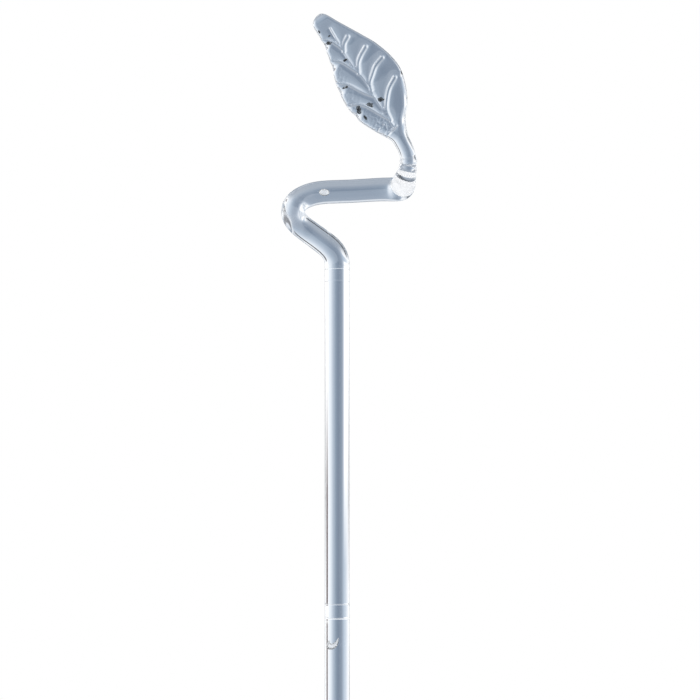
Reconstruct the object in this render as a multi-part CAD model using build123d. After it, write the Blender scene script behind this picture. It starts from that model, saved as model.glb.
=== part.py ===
"""Glass spirit thermometer with a leaf finial, as an assembly of separate solids.

Millimetres. The stem stands along +Z with the flat of its foot on Z = 0, centred on the origin.
The scale is read from the -Y side. The leaf leans towards -X above a curled tendril.
"""

import math
import os

from build123d import *

# --- Driving dimensions ---------------------------------------------------------------------

# Stem: hollow envelope, solid plug and solid handle rod, with the heights of their fused joints
STEM_R = 3.5
ENVELOPE_BORE_R = 2.7
ENVELOPE_TOP = 105.2
PLUG_TOP = 129.0
HANDLE_TOP = 228.8

# Rounded face of the plug that closes the envelope's bore
PLUG_FACE_R = 5.2
PLUG_FACE_DROP = 0.7

# Sealed foot of the envelope
FOOT_FLAT_R = 1.9
FOOT_SHOULDER_H = 2.4
FOOT_FLOOR = 1.4
FOOT_INNER_ROUND = 0.5

# Spirit thermometer inside the envelope
CAPILLARY_R = 1.0
CAPILLARY_BORE_R = 0.3
CAPILLARY_TOP = 103.6
BULB_R = 2.3
BULB_WALL = 0.45
BULB_BOTTOM = 12.5
BULB_SHOULDER = 24.8
BULB_TOP = 28.0
CHAMBER_Z = 100.6
CHAMBER_R = 0.55
CHAMBER_H = 3.4
THREAD_CLEARANCE = 0.02
FILL_CLEARANCE = 0.03

# Scale in degrees C: the thread stands at REST_READING
SCALE_ZERO_Z = 36.0
DEGREE = 1.22
REST_READING = 25
CARD_WIDTH = 4.4
CARD_THICKNESS = 0.3
CARD_FRONT_Y = 1.08
CARD_BOTTOM = 29.6
CARD_TOP = 102.3
DRILL_LENGTH = 1.2

# Wire ties that hold the capillary to the card, by the readings they sit between
TIE_READINGS = (-2.5, 22.5, 47.5)
TIE_WIRE_R = 0.09
TIE_GAP = 0.03
TIE_HOLE_R = 0.17
TIE_CORNER_R = 0.22

# Soft spacers, packing and ballast
SPACER_R = ENVELOPE_BORE_R - 0.05
SPACER_GAP = 0.04
TOP_SPACER_BOTTOM = 100.2
TOP_SPACER_H = 2.6
COLLAR_BOTTOM = 28.7
COLLAR_H = 2.2
WAD_BOTTOM = 9.8
WAD_H = 2.5
WAD_ROUND = 0.6
SHOT_R = 1.2
SHOT_CIRCLE_R = 1.42
SHOT_LAYERS = 4
SHOT_PER_LAYER = 3
SHOT_PITCH = 1.95

# Tendril: centre line of the curled rod, from the handle rod to the foot of the leaf's elbow
TENDRIL_MIDDLE_R = 3.3
TENDRIL_LINE = [
    (0.0, 0.0, HANDLE_TOP),
    (-0.8, -0.6, 232.0),
    (-3.6, -2.55, 234.9),
    (-7.6, -4.0, 237.8),
    (-11.1, -3.2, 240.7),
    (-12.5, -0.2, 243.9),
    (-11.1, 3.0, 246.9),
    (-7.2, 4.6, 248.9),
    (-2.0, 5.0, 249.6),
    (3.6, 5.0, 249.8),
    (8.8, 5.0, 250.1),
    (13.1, 4.9, 250.3),
    (15.9, 4.1, 250.3),
    (17.6, 2.3, 250.4),
    (18.4, 0.2, 251.0),
]
TENDRIL_END_DIRECTION = (0.2, -0.9, 0.45)

# Elbow from the tendril's end up to the seam below the leaf
ELBOW_LINE = [TENDRIL_LINE[-1], (18.9, -1.9, 252.4), (19.6, -3.6, 254.7), (20.05, -4.3, 257.9)]
ELBOW_FOOT_R = 3.5
STALK_R = 2.46

# Leaf: its blade lies in a plane of its own, X across and Y along it, leaning back by LEAF_LEAN
LEAF_BASE = (16.6, -4.3, 266.35)
LEAF_LEAN = 33.0
STALK_LINE = [ELBOW_LINE[-1], (19.2, -4.3, 261.6), (16.9, -4.3, 265.9), (13.5, -4.3, 271.2)]
STALK_MIDDLE_R = 2.1
STALK_END_R = 1.3
BLADE_HALF_THICKNESS = 1.55
BLADE_CROWN_Y = 12.0
BLADE_CROSS_R = 75.0
BLADE_LENGTH_R = 500.0
BARREL_REACH = 40.0
RIGHT_LOWER_MARGIN = [(2.0, -1.6), (6.3, 4.0), (8.8, 7.8), (9.9, 12.3)]
RIGHT_UPPER_MARGIN = [(9.9, 12.3), (10.5, 15.5), (10.1, 19.3), (6.9, 27.8), (1.8, 37.7)]
TIP = [(1.8, 37.7), (0.4, 39.4), (-1.6, 39.8), (-3.2, 38.5), (-3.3, 36.2)]
LEFT_NOTCHES = [(-3.3, 36.2), (-4.1, 29.6), (-5.9, 23.8), (-7.6, 17.2), (-7.1, 8.9), (-2.0, -1.6)]
LOBE_BULGE = 0.35

# Veins pressed into both faces of the blade, each from the midrib outwards
MIDRIB = [(-0.1, 2.0), (0.1, 11.0), (0.4, 16.8), (-0.4, 22.0), (-0.1, 29.0), (0.2, 34.0)]
RIGHT_VEINS = [
    [(0.0, 2.6), (1.0, 6.4), (4.0, 10.2), (8.1, 12.6)],
    [(0.3, 13.4), (1.2, 15.4), (4.3, 18.0), (7.9, 19.6)],
    [(-0.1, 19.6), (1.4, 21.8), (3.2, 23.3), (5.8, 24.7)],
    [(-0.1, 27.0), (0.9, 28.4), (3.1, 29.8)],
]
LEFT_VEINS = [
    [(-0.1, 4.2), (-1.9, 8.4), (-4.3, 11.8), (-7.9, 14.0)],
    [(0.1, 12.2), (-1.8, 14.9), (-4.2, 18.2), (-7.6, 21.0)],
    [(0.0, 20.0), (-1.6, 23.2), (-3.2, 25.6), (-5.9, 27.6)],
    [(-0.1, 27.8), (-1.6, 30.4), (-4.6, 32.9)],
]
VEIN_R = 0.75
VEIN_RISE = 0.42


# --- Small helpers --------------------------------------------------------------------------


def bar(bottom, top, radius):
    """Upright round bar on the stem's axis, from one height to another."""
    return Pos(0, 0, (bottom + top) / 2) * Cylinder(radius, top - bottom)


def turned(*edges):
    """Solid of revolution about the stem's axis, from edges given in the XZ plane."""
    return revolve(Plane.XZ * make_face(edges), Axis.Z)


def bent_rod(points, start_direction, end_direction, start_r, middle_r, end_r):
    """Round rod along a smooth line, its radius easing from the start to the middle and the end."""
    directions = (Vector(start_direction).normalized(), Vector(end_direction).normalized())
    line = Spline(*points, tangents=directions, tangent_scalars=(1, 1))
    sections = []
    for share, radius in ((0.0, start_r), (0.5, middle_r), (1.0, end_r)):
        plane = Plane(origin=line @ share, z_dir=line % share)
        sections.append(plane * Circle(radius))
    return sweep(sections, path=line, multisection=True)


def save(node, shape):
    """Writes one named sub-part."""
    export_step(shape, f"parts/{node}.step")


# --- Stem -----------------------------------------------------------------------------------


def envelope_tube():
    """Thin-walled tube, open to the joint plug at its top and sealed to a small flat foot."""
    shoulder_w = STEM_R - FOOT_FLAT_R
    outside = turned(
        Line((0, 0), (FOOT_FLAT_R, 0)),
        EllipticalCenterArc((FOOT_FLAT_R, FOOT_SHOULDER_H), shoulder_w, FOOT_SHOULDER_H, 270),
        Line((STEM_R, FOOT_SHOULDER_H), (STEM_R, ENVELOPE_TOP)),
        Line((STEM_R, ENVELOPE_TOP), (0, ENVELOPE_TOP)),
        Line((0, ENVELOPE_TOP), (0, 0)),
    )
    bore = bar(FOOT_FLOOR, ENVELOPE_TOP, ENVELOPE_BORE_R)
    floor_edge = bore.edges().sort_by(Axis.Z)[0]
    return outside - fillet(floor_edge, FOOT_INNER_ROUND)


def joint_plug():
    """Solid length fused to the envelope, its rounded lower face closing the bore."""
    face_bottom = ENVELOPE_TOP - PLUG_FACE_DROP
    ball = Pos(0, 0, face_bottom + PLUG_FACE_R) * Sphere(PLUG_FACE_R)
    return bar(ENVELOPE_TOP, PLUG_TOP, STEM_R) + (bar(face_bottom, ENVELOPE_TOP, STEM_R) & ball)


def handle_rod():
    """Solid straight rod from the plug up to the tendril's seam."""
    return bar(PLUG_TOP, HANDLE_TOP, STEM_R)


def tendril_rod():
    """Solid rod that curls away from the stem and back across it to the leaf's side."""
    return bent_rod(
        TENDRIL_LINE, (0, 0, 1), TENDRIL_END_DIRECTION, STEM_R, TENDRIL_MIDDLE_R, ELBOW_FOOT_R
    )


def leaf_elbow():
    """Short elbow that carries the leaf's stalk up from the tendril's end."""
    middle_r = (ELBOW_FOOT_R + STALK_R) / 2
    return bent_rod(ELBOW_LINE, TENDRIL_END_DIRECTION, (0, 0, 1), ELBOW_FOOT_R, middle_r, STALK_R)


# --- Leaf -----------------------------------------------------------------------------------


def blade_half_thickness(across, along):
    """Distance of either face from the blade's middle plane."""
    cross_fall = across**2 / (2 * BLADE_CROSS_R)
    length_fall = (along - BLADE_CROWN_Y) ** 2 / (2 * BLADE_LENGTH_R)
    return BLADE_HALF_THICKNESS - cross_fall - length_fall


def blade_outline():
    """Leaf outline: a smooth right margin, a blunt tip and a left margin of shallow lobes."""
    edges = [Spline(*RIGHT_LOWER_MARGIN), Spline(*RIGHT_UPPER_MARGIN), Spline(*TIP)]
    for start, end in zip(LEFT_NOTCHES, LEFT_NOTCHES[1:]):
        edges.append(SagittaArc(start, end, LOBE_BULGE))
    edges.append(Line(LEFT_NOTCHES[-1], RIGHT_LOWER_MARGIN[0]))
    return make_face(edges)


def blade_barrel():
    """Barrel whose skin is the crowned front face of the blade."""
    bottom, top = BLADE_CROWN_Y - BARREL_REACH, BLADE_CROWN_Y + BARREL_REACH
    fall = blade_half_thickness(0, BLADE_CROWN_Y) - blade_half_thickness(0, top)
    side = BLADE_CROSS_R - fall
    edges = [
        Line((0, bottom), (side, bottom)),
        ThreePointArc((side, bottom), (BLADE_CROSS_R, BLADE_CROWN_Y), (side, top)),
        Line((side, top), (0, top)),
        Line((0, top), (0, bottom)),
    ]
    profile = make_face(edges)
    return Pos(0, 0, BLADE_HALF_THICKNESS - BLADE_CROSS_R) * revolve(profile, Axis.Y)


def vein_groove(points):
    """Cutter for one vein pressed into the front face of the blade."""
    line = Spline(*[(x, y, blade_half_thickness(x, y) + VEIN_RISE) for x, y in points])
    start = Plane(origin=line @ 0, z_dir=line % 0)
    ends = [Pos(*(line @ share)) * Sphere(VEIN_R) for share in (0, 1)]
    return [sweep(start * Circle(VEIN_R), path=line), *ends]


def leaf_finial():
    """Pressed-glass leaf with its stalk."""
    barrel = blade_barrel()
    blade = extrude(blade_outline(), BLADE_HALF_THICKNESS, both=True) & barrel
    blade = blade & mirror(barrel, about=Plane.XY)
    cutters = []
    for vein in [MIDRIB, *RIGHT_VEINS, *LEFT_VEINS]:
        for cutter in vein_groove(vein):
            cutters += [cutter, mirror(cutter, about=Plane.XY)]
    blade = blade - cutters
    lean = math.radians(LEAF_LEAN)
    blade_plane = Plane(LEAF_BASE, x_dir=(math.cos(lean), 0, math.sin(lean)), z_dir=(0, -1, 0))
    stalk_end_direction = (-math.sin(lean), 0, math.cos(lean))
    stalk = bent_rod(
        STALK_LINE, (0, 0, 1), stalk_end_direction, STALK_R, STALK_MIDDLE_R, STALK_END_R
    )
    return blade_plane * blade + stalk


# --- Thermometer inside the envelope -----------------------------------------------------------


def bulb_outline(radius, bottom, shoulder, top, neck_r):
    """Bulb-shaped solid: round bottom, straight side, tapering to a neck at the top."""
    bend_z = (shoulder + top) / 2
    return turned(
        EllipticalCenterArc((0, bottom + radius), radius, radius, 270),
        Line((radius, bottom + radius), (radius, shoulder)),
        Bezier((radius, shoulder), (radius, bend_z), (neck_r, bend_z), (neck_r, top)),
        Line((neck_r, top), (0, top)),
        Line((0, top), (0, bottom)),
    )


def bulb_cavity(clearance):
    """Space inside the bulb, or the spirit that fills it when a clearance is taken off."""
    radius = BULB_R - BULB_WALL - clearance
    bottom = BULB_BOTTOM + BULB_WALL + clearance
    return bulb_outline(radius, bottom, BULB_SHOULDER, BULB_TOP, CAPILLARY_BORE_R - clearance)


def bulb():
    outside = bulb_outline(BULB_R, BULB_BOTTOM, BULB_SHOULDER, BULB_TOP, CAPILLARY_R)
    return outside - bulb_cavity(0)


def bulb_spirit():
    return bulb_cavity(FILL_CLEARANCE)


def capillary_tube():
    """Fine-bore tube with a closed round top and a small expansion chamber."""
    body = bar(BULB_TOP, CAPILLARY_TOP - CAPILLARY_R, CAPILLARY_R)
    body += Pos(0, 0, CAPILLARY_TOP - CAPILLARY_R) * Sphere(CAPILLARY_R)
    chamber = scale(Sphere(CHAMBER_R), (1, 1, CHAMBER_H / (2 * CHAMBER_R)))
    return body - bar(BULB_TOP, CHAMBER_Z, CAPILLARY_BORE_R) - Pos(0, 0, CHAMBER_Z) * chamber


def spirit_thread():
    """Column of spirit that stands in the capillary at the rest reading."""
    top = SCALE_ZERO_Z + REST_READING * DEGREE
    return bar(BULB_TOP, top, CAPILLARY_BORE_R - THREAD_CLEARANCE)


def card_block(gap):
    """The scale card's own block, or the slot that takes it when a gap is added."""
    middle = (0, CARD_FRONT_Y + CARD_THICKNESS / 2, (CARD_BOTTOM + CARD_TOP) / 2)
    width = CARD_WIDTH + 2 * gap
    thickness = CARD_THICKNESS + 2 * gap
    return Pos(*middle) * Box(width, thickness, CARD_TOP - CARD_BOTTOM + 2 * gap)


def tie_heights():
    return [SCALE_ZERO_Z + reading * DEGREE for reading in TIE_READINGS]


def tie_half_width():
    return CAPILLARY_R + TIE_GAP + TIE_WIRE_R


def scale_card():
    """White strip behind the capillary, drilled for the wire ties."""
    card = card_block(0)
    for height in tie_heights():
        for side in (-1, 1):
            drill = Pos(side * tie_half_width(), CARD_FRONT_Y, height) * Rot(90, 0, 0)
            card -= drill * Cylinder(TIE_HOLE_R, DRILL_LENGTH)
    return card


def capillary_ties():
    """One wire loop for each tie, round the capillary and through the card."""
    reach = tie_half_width()
    back = CARD_FRONT_Y + CARD_THICKNESS + TIE_GAP + TIE_WIRE_R
    corner = TIE_CORNER_R
    loops = []
    for height in tie_heights():
        line = Curve() + [
            ThreePointArc((-reach, 0), (0, -reach), (reach, 0)),
            Line((reach, 0), (reach, back - corner)),
            RadiusArc((reach, back - corner), (reach - corner, back), -corner),
            Line((reach - corner, back), (corner - reach, back)),
            RadiusArc((corner - reach, back), (-reach, back - corner), -corner),
            Line((-reach, back - corner), (-reach, 0)),
        ]
        section = Plane(origin=(reach, back / 2, 0), z_dir=(0, 1, 0)) * Circle(TIE_WIRE_R)
        loops.append(Pos(0, 0, height) * sweep(section, path=line.wire()))
    return loops


# --- Spacers, packing and ballast ---------------------------------------------------------------


def spacer(bottom, height):
    """Soft ring that centres the capillary, slotted to take the end of the card."""
    ring = bar(bottom, bottom + height, SPACER_R)
    ring -= bar(bottom, bottom + height, CAPILLARY_R + SPACER_GAP)
    return ring - card_block(SPACER_GAP)


def packing_wad():
    """Fibre wad between the ballast and the bulb, rounded over at both ends."""
    wad = bar(WAD_BOTTOM, WAD_BOTTOM + WAD_H, SPACER_R)
    return fillet(wad.edges().filter_by(GeomType.CIRCLE), WAD_ROUND)


def ballast_shot():
    """Steel balls in triangles, each layer turned to nest in the one below."""
    balls = []
    for layer in range(SHOT_LAYERS):
        height = FOOT_FLOOR + SHOT_R + layer * SHOT_PITCH
        for place in range(SHOT_PER_LAYER):
            angle = (place + layer / 2) * 360 / SHOT_PER_LAYER
            balls.append(Rot(0, 0, angle) * Pos(SHOT_CIRCLE_R, 0, height) * Sphere(SHOT_R))
    return balls


os.makedirs("parts", exist_ok=True)
save("envelope_tube", envelope_tube())
save("joint_plug", joint_plug())
save("handle_rod", handle_rod())
save("tendril_rod", tendril_rod())
save("leaf_elbow", leaf_elbow())
save("leaf_finial", leaf_finial())
save("capillary_tube", capillary_tube())
save("bulb", bulb())
save("bulb_spirit", bulb_spirit())
save("spirit_thread", spirit_thread())
save("scale_card", scale_card())
save("capillary_ties", Compound(children=capillary_ties()))
save("top_spacer", spacer(TOP_SPACER_BOTTOM, TOP_SPACER_H))
save("bulb_collar", spacer(COLLAR_BOTTOM, COLLAR_H))
save("packing_wad", packing_wad())
save("ballast_shot", Compound(children=ballast_shot()))
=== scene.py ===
# Looks for the glass thermometer with a leaf finial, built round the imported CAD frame.
import random
from math import asin, ceil, copysign, cos, degrees, exp, pi, radians, sin

import bmesh
import bpy
import numpy as np
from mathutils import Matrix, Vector


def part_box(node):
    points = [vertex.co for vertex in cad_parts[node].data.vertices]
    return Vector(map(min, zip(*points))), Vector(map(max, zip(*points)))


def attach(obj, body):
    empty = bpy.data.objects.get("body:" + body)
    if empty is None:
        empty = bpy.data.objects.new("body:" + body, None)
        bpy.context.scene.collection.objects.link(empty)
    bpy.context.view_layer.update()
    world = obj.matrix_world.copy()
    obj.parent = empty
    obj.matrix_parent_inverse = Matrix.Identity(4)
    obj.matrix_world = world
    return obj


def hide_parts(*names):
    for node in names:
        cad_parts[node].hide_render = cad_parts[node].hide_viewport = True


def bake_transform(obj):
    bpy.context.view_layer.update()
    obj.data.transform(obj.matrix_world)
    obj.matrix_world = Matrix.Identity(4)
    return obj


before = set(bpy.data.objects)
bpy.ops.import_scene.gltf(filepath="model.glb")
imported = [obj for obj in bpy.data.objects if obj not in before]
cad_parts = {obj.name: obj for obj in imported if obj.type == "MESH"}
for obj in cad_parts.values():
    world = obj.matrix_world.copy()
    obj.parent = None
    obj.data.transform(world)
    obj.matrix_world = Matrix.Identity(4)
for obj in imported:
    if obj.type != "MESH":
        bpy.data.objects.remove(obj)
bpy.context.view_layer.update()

MM = 0.001
ROOT = "thermometer"

# --- Sizes, in millimetres in the CAD's frame ---


def top_of(node):
    """Height of a CAD node's top, in millimetres."""
    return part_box(node)[1][2] / MM


def foot_of(node):
    """Height of a CAD node's lowest point, in millimetres."""
    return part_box(node)[0][2] / MM


STEM_R = 3.5
ENVELOPE_BORE_R = 2.7
FOOT_FLAT_R = 1.9
FOOT_SHOULDER_H = 2.4
FOOT_FLOOR = 1.4
FOOT_INNER_ROUND = 0.5
ENVELOPE_TOP = top_of("envelope_tube")
PLUG_FACE = foot_of("joint_plug")
PLUG_FACE_R = 2.6
PLUG_TOP = top_of("joint_plug")
HANDLE_TOP = top_of("handle_rod")

# Marks round the stem: heights left by the flame, dips of the wall, and (height, reach) frosted lines
FLAME_MARKS = (PLUG_TOP + 4.0, 227.7, 224.3)
SEAM_DIP = 0.02
FLAME_DIP = 0.008
DIP_REACH = 0.17
SEAM_FROST = (PLUG_TOP, 0.1)
FLAME_FROST = [(height, 0.05) for height in FLAME_MARKS[:2]]

# Air trapped in the glass
HOOK_LINE = [(-2.2, -1.6, 122.9), (-1.75, -1.9, 121.2), (-0.8, -1.9, 121.5), (0.35, -2.0, 123.7)]
HOOK_RADII = [(0, 0.2), (0.3, 0.85), (0.55, 0.65), (1, 0.06)]
OVAL_BUBBLE = Vector((-3.7, 2.6, 249.4))
OVAL_RADII = Vector((1.5, 0.6, 0.9))

# Spirit thermometer inside the envelope
CAPILLARY_R = 1.0
BORE_R = 0.3
CAPILLARY_TOP = top_of("capillary_tube")
CHAMBER_Z = 100.6
CHAMBER_R = 0.55
CHAMBER_HALF_H = 1.7
BULB_R = 2.3
BULB_WALL = 0.45
BULB_BOTTOM = foot_of("bulb")
BULB_SHOULDER = 24.8
BULB_TOP = top_of("bulb")
THREAD_TOP = top_of("spirit_thread")
MENISCUS = 0.12
WETTING = 0.012

# Scale, in degrees C
SCALE_ZERO_Z = 36.0
DEGREE = 1.22
LAST_READING = 50
CARD_WIDTH = 4.4
CARD_THICKNESS = 0.3
CARD_FRONT_Y = 1.08
CARD_BACK_Y = CARD_FRONT_Y + CARD_THICKNESS
CARD_BOTTOM = foot_of("scale_card")
CARD_TOP = top_of("scale_card")
CARD_CORNER_R = 0.08
INK_H = 0.015
MARK_START = 1.06
NUMBER_X = -1.58
NUMBER_SIZE = 1.75
NUMBER_BOLD = 0.035
NUMBER_NARROW = 0.62
TIE_READINGS = (-2.5, 22.5, 47.5)
TIE_WIRE_R = 0.09
TIE_HOLE_R = 0.17
TIE_REACH = 1.12
TIE_BACK_Y = 1.5
TIE_CORNER_R = 0.22

# Soft spacers, packing and ballast
SPACER_R = 2.65
SPACER_GAP = 0.04
SPACER_ROUND = 0.18
WAD_ROUND = 0.6
STRANDS = 90
STRAND_R = 0.03
SHOT_R = 1.2
SHOT_CIRCLE_R = 1.42
SHOT_FIRST_Z = 2.6
SHOT_PITCH = 1.95

# Curled rod: centre line from the handle rod to the elbow, and from there up to the leaf
TENDRIL_LINE = [
    (0.0, 0.0, HANDLE_TOP), (-0.8, -0.6, 232.0), (-3.6, -2.55, 234.9), (-7.6, -4.0, 237.8),
    (-11.1, -3.2, 240.7), (-12.5, -0.2, 243.9), (-11.1, 3.0, 246.9), (-7.2, 4.6, 248.9),
    (-2.0, 5.0, 249.6), (3.6, 5.0, 249.8), (8.8, 5.0, 250.1), (13.1, 4.9, 250.3),
    (15.9, 4.1, 250.3), (17.6, 2.3, 250.4), (18.4, 0.2, 251.0),
]
TENDRIL_END_DIRECTION = (0.2, -0.9, 0.45)
TENDRIL_MIDDLE_R = 3.3
ELBOW_LINE = [TENDRIL_LINE[-1], (18.9, -1.9, 252.4), (19.6, -3.6, 254.7), (20.05, -4.3, 257.9)]
ELBOW_FOOT_R = 3.5
STALK_R = 2.46
NECK_DIP = 0.34
WELD_SHARE = 0.86

# Leaf: X across and Y along its blade, from where the stalk runs into it
LEAF_BASE = Vector((16.6, -4.3, 266.35))
LEAF_LEAN = radians(33)
LEAF_ACROSS = Vector((cos(LEAF_LEAN), 0, sin(LEAF_LEAN)))
LEAF_ALONG = Vector((-sin(LEAF_LEAN), 0, cos(LEAF_LEAN)))
LEAF_OUT = Vector((0, -1, 0))
LEAF_LENGTH = 39.4
STALK_FOOT = -8.97
LEAF_SPINE = [
    (-1.71, STALK_FOOT), (-1.07, -7.7), (-0.5, -5.7), (-0.2, -3.6), (0.0, 0.0), (0.0, 5.0),
    (0.1, 11.0), (0.2, 17.0), (-0.1, 22.0), (-0.1, 29.0), (-0.1, 35.0), (-0.4, LEAF_LENGTH),
]
STALK_MARGIN = [(STALK_FOOT, STALK_R), (-7.6, 2.18), (-5.6, 2.2)]
RIGHT_MARGIN = [
    *STALK_MARGIN, (-3.4, 2.25), (-1.7, 2.6), (1.5, 4.1), (4.9, 6.95), (8.9, 9.1), (12.2, 10.1),
    (15.0, 10.5), (19.0, 10.2), (23.7, 9.0), (27.8, 6.95), (32.0, 4.65), (36.0, 2.65), (37.9, 2.0),
    (LEAF_LENGTH, 1.9),
]
LEFT_MARGIN = [
    *STALK_MARGIN, (-3.4, 2.3), (-1.9, 2.45), (-0.7, 2.95), (1.2, 4.0), (5.2, 6.0), (8.8, 7.4),
    (13.4, 8.1), (17.2, 7.9), (21.0, 6.75), (25.0, 5.3), (29.0, 4.3), (33.0, 3.7), (36.0, 3.5),
    (38.2, 3.4), (LEAF_LENGTH, 2.9),
]
BLADE_HALF_THICKNESS = [
    (STALK_FOOT, STALK_R), (-7.6, 2.18), (-4.5, 2.2), (0.0, 2.0), (4.0, 1.72), (12.0, 1.55),
    (25.0, 1.4), (34.0, 1.25), (LEAF_LENGTH, 1.15),
]
BLADE_CROSS_R = 75.0
BLADE_HALF_AROUND = 96
BLADE_STEP = 0.14
TIP_ROUND = 2.6
NOTCHES = (9.8, 17.9, 24.8, 31.0)
NOTCH_REACH = 2.0
NOTCH_DEPTH = 0.3

MIDRIB = [(0.1, 1.6), (0.1, 6.0), (0.1, 11.0), (0.4, 16.0), (-0.2, 21.5), (-0.1, 29.0), (0.2, 34.4)]
RIGHT_VEINS = [
    [(0.3, 3.4), (0.9, 6.4), (2.6, 8.9), (4.9, 11.2), (7.9, 12.9)],
    [(0.4, 13.5), (1.2, 15.4), (2.8, 16.8), (5.2, 18.6), (7.9, 19.5)],
    [(0.0, 19.3), (1.4, 21.8), (3.1, 23.2), (5.7, 24.6)],
    [(-0.1, 26.8), (0.9, 28.4), (3.0, 29.7)],
]
LEFT_VEINS = [
    [(0.0, 4.0), (-1.8, 7.6), (-3.0, 10.0), (-5.0, 12.3), (-8.4, 13.6)],
    [(0.1, 11.6), (-1.8, 14.1), (-3.2, 16.6), (-4.9, 19.0), (-7.4, 20.9)],
    [(0.0, 19.6), (-1.4, 22.8), (-2.6, 25.0), (-5.4, 27.0)],
    [(-0.1, 27.4), (-1.0, 30.0), (-2.2, 31.8), (-4.2, 33.2)],
]
BASE_SEAM = [(-3.9, -0.4), (-1.6, 0.6), (0.8, 1.2)]

# How the veins are pressed: the lines, their depth, and half widths of a groove's floor and mouth
VEIN_PRESSES = [
    (RIGHT_VEINS, 0.45, 0.4, 0.8), (LEFT_VEINS, 0.5, 0.16, 0.7), ([BASE_SEAM], 0.5, 0.1, 0.6),
]
MIDRIB_PRESS = (0.34, 0.22, 0.62)
BACK_RELIEF = 0.55

# Painted dark glints: dark lumps in the blade that stand in for the dark surroundings seen in the glass.
# Each gives place across and along it, half width and height, lean in degrees
BLADE_PAINTED_GLINTS = [
    (-5.6, 10.6, 0.55, 1.15, 28), (-5.2, 7.9, 0.3, 0.75, 35), (-2.1, 10.4, 0.9, 0.45, -15),
    (1.2, 9.9, 0.6, 0.6, -30), (-5.5, 18.1, 0.65, 0.28, 10), (-1.1, 24.6, 0.5, 0.25, 0),
    (-2.5, 31.0, 0.7, 0.4, -10), (-1.3, 32.7, 0.3, 0.2, 20), (-2.8, 35.2, 0.15, 0.5, 27),
    (10.1, 13.0, 0.2, 0.7, 20),
]
PAINTED_GLINT_HALF_DEPTH = 0.22


# --- Mesh helpers ---


def cubic(t, span, start, end, start_slope, end_slope):
    """Place at share t of a cubic from start to end, whose slopes are given over the span."""
    return ((1 + 2 * t) * (1 - t) ** 2 * start + t * (1 - t) ** 2 * span * start_slope
            + t * t * (3 - 2 * t) * end - t * t * (1 - t) * span * end_slope)


def smooth_line(points, start_direction, end_direction, step):
    """Points about step apart on the smooth curve through the given ones."""
    p = np.array(points, float)
    spans = np.linalg.norm(np.diff(p, axis=0), axis=1)
    count = len(p)
    system = np.eye(count)
    slopes = np.zeros_like(p)
    slopes[0] = np.array(start_direction, float) / np.linalg.norm(start_direction)
    slopes[-1] = np.array(end_direction, float) / np.linalg.norm(end_direction)
    for i in range(1, count - 1):
        before, after = spans[i - 1], spans[i]
        system[i, i - 1: i + 2] = after, 2 * (before + after), before
        slopes[i] = 3 * (before * (p[i + 1] - p[i]) / after + after * (p[i] - p[i - 1]) / before)
    slopes = np.linalg.solve(system, slopes)
    line = [p[0]]
    for i, span in enumerate(spans):
        pieces = max(2, ceil(span / step))
        for k in range(1, pieces + 1):
            line.append(cubic(k / pieces, span, p[i], p[i + 1], slopes[i], slopes[i + 1]))
    return np.array(line)


def eased(table, x):
    """Smooth value at x from a table of (position, value), flat where its neighbours turn."""
    places, values = np.array(table, float).T
    steps = np.diff(values) / np.diff(places)
    slopes = np.zeros_like(values)
    turn = steps[:-1] * steps[1:] > 0
    slopes[1:-1][turn] = 2 * steps[:-1][turn] * steps[1:][turn] / (steps[:-1][turn] + steps[1:][turn])
    slopes[0], slopes[-1] = steps[0], steps[-1]
    x = np.clip(np.asarray(x, float), places[0], places[-1])
    i = np.clip(np.searchsorted(places, x, side="right") - 1, 0, len(places) - 2)
    width = places[i + 1] - places[i]
    t = (x - places[i]) / width
    return cubic(t, width, values[i], values[i + 1], slopes[i], slopes[i + 1])


def smoothstep(low, high, x):
    """0 below low, 1 above high, and an even ease between them."""
    t = np.clip((np.asarray(x, float) - low) / (high - low), 0, 1)
    return t * t * (3 - 2 * t)


def round_turns(count):
    """Angles evenly round a circle, in radians."""
    return np.arange(count) * 2 * pi / count


def ring_round(centre, side, up, radius, around):
    """Ring of points about a centre, in the plane of two directions."""
    angles = round_turns(around)
    return centre + radius * (np.outer(np.cos(angles), side) + np.outer(np.sin(angles), up))


def lifts(rows):
    """Angles of the rings between the poles of a ball with so many rows, in radians."""
    return np.radians(np.linspace(-90, 90, rows + 1))[1:-1]


def skin_faces(count, around, first=0, closed=False):
    """Faces over count rings of around points, numbered from first; closed joins last to first."""
    faces = []
    for i in range(count if closed else count - 1):
        low = first + i * around
        high = first + (i + 1) % count * around
        for k in range(around):
            n = (k + 1) % around
            faces.append((low + k, low + n, high + n, high + k))
    return faces


def link(name, data):
    """A new object in the scene that holds the data."""
    piece = bpy.data.objects.new(name, data)
    bpy.context.scene.collection.objects.link(piece)
    return piece


def new_piece(name, points, faces, materials, slots=None, sharp=35):
    """A closed mesh piece from points in millimetres, its normals turned outwards."""
    mesh = bpy.data.meshes.new(name)
    mesh.from_pydata([tuple(MM * v for v in p) for p in points], [], faces)
    for material in materials:
        mesh.materials.append(material)
    if slots is not None:
        mesh.polygons.foreach_set("material_index", slots)
    work = bmesh.new()
    work.from_mesh(mesh)
    bmesh.ops.recalc_face_normals(work, faces=work.faces)
    work.to_mesh(mesh)
    work.free()
    mesh.shade_smooth()
    mesh.set_sharp_from_angle(angle=radians(sharp))
    return link(name, mesh)


def skin(rings, ends=None, first=0):
    """Points and faces over closed rings, shut by fans to a point at each end."""
    count, around = len(rings), len(rings[0])
    if ends is None:
        ends = np.mean(rings[0], axis=0), np.mean(rings[-1], axis=0)
    faces = skin_faces(count, around, first)
    for end, row in enumerate((first, first + (count - 1) * around)):
        tip = first + count * around + end
        faces += [(tip, row + k, row + (k + 1) % around) for k in range(around)]
    return np.vstack([*rings, *ends]), faces


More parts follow.
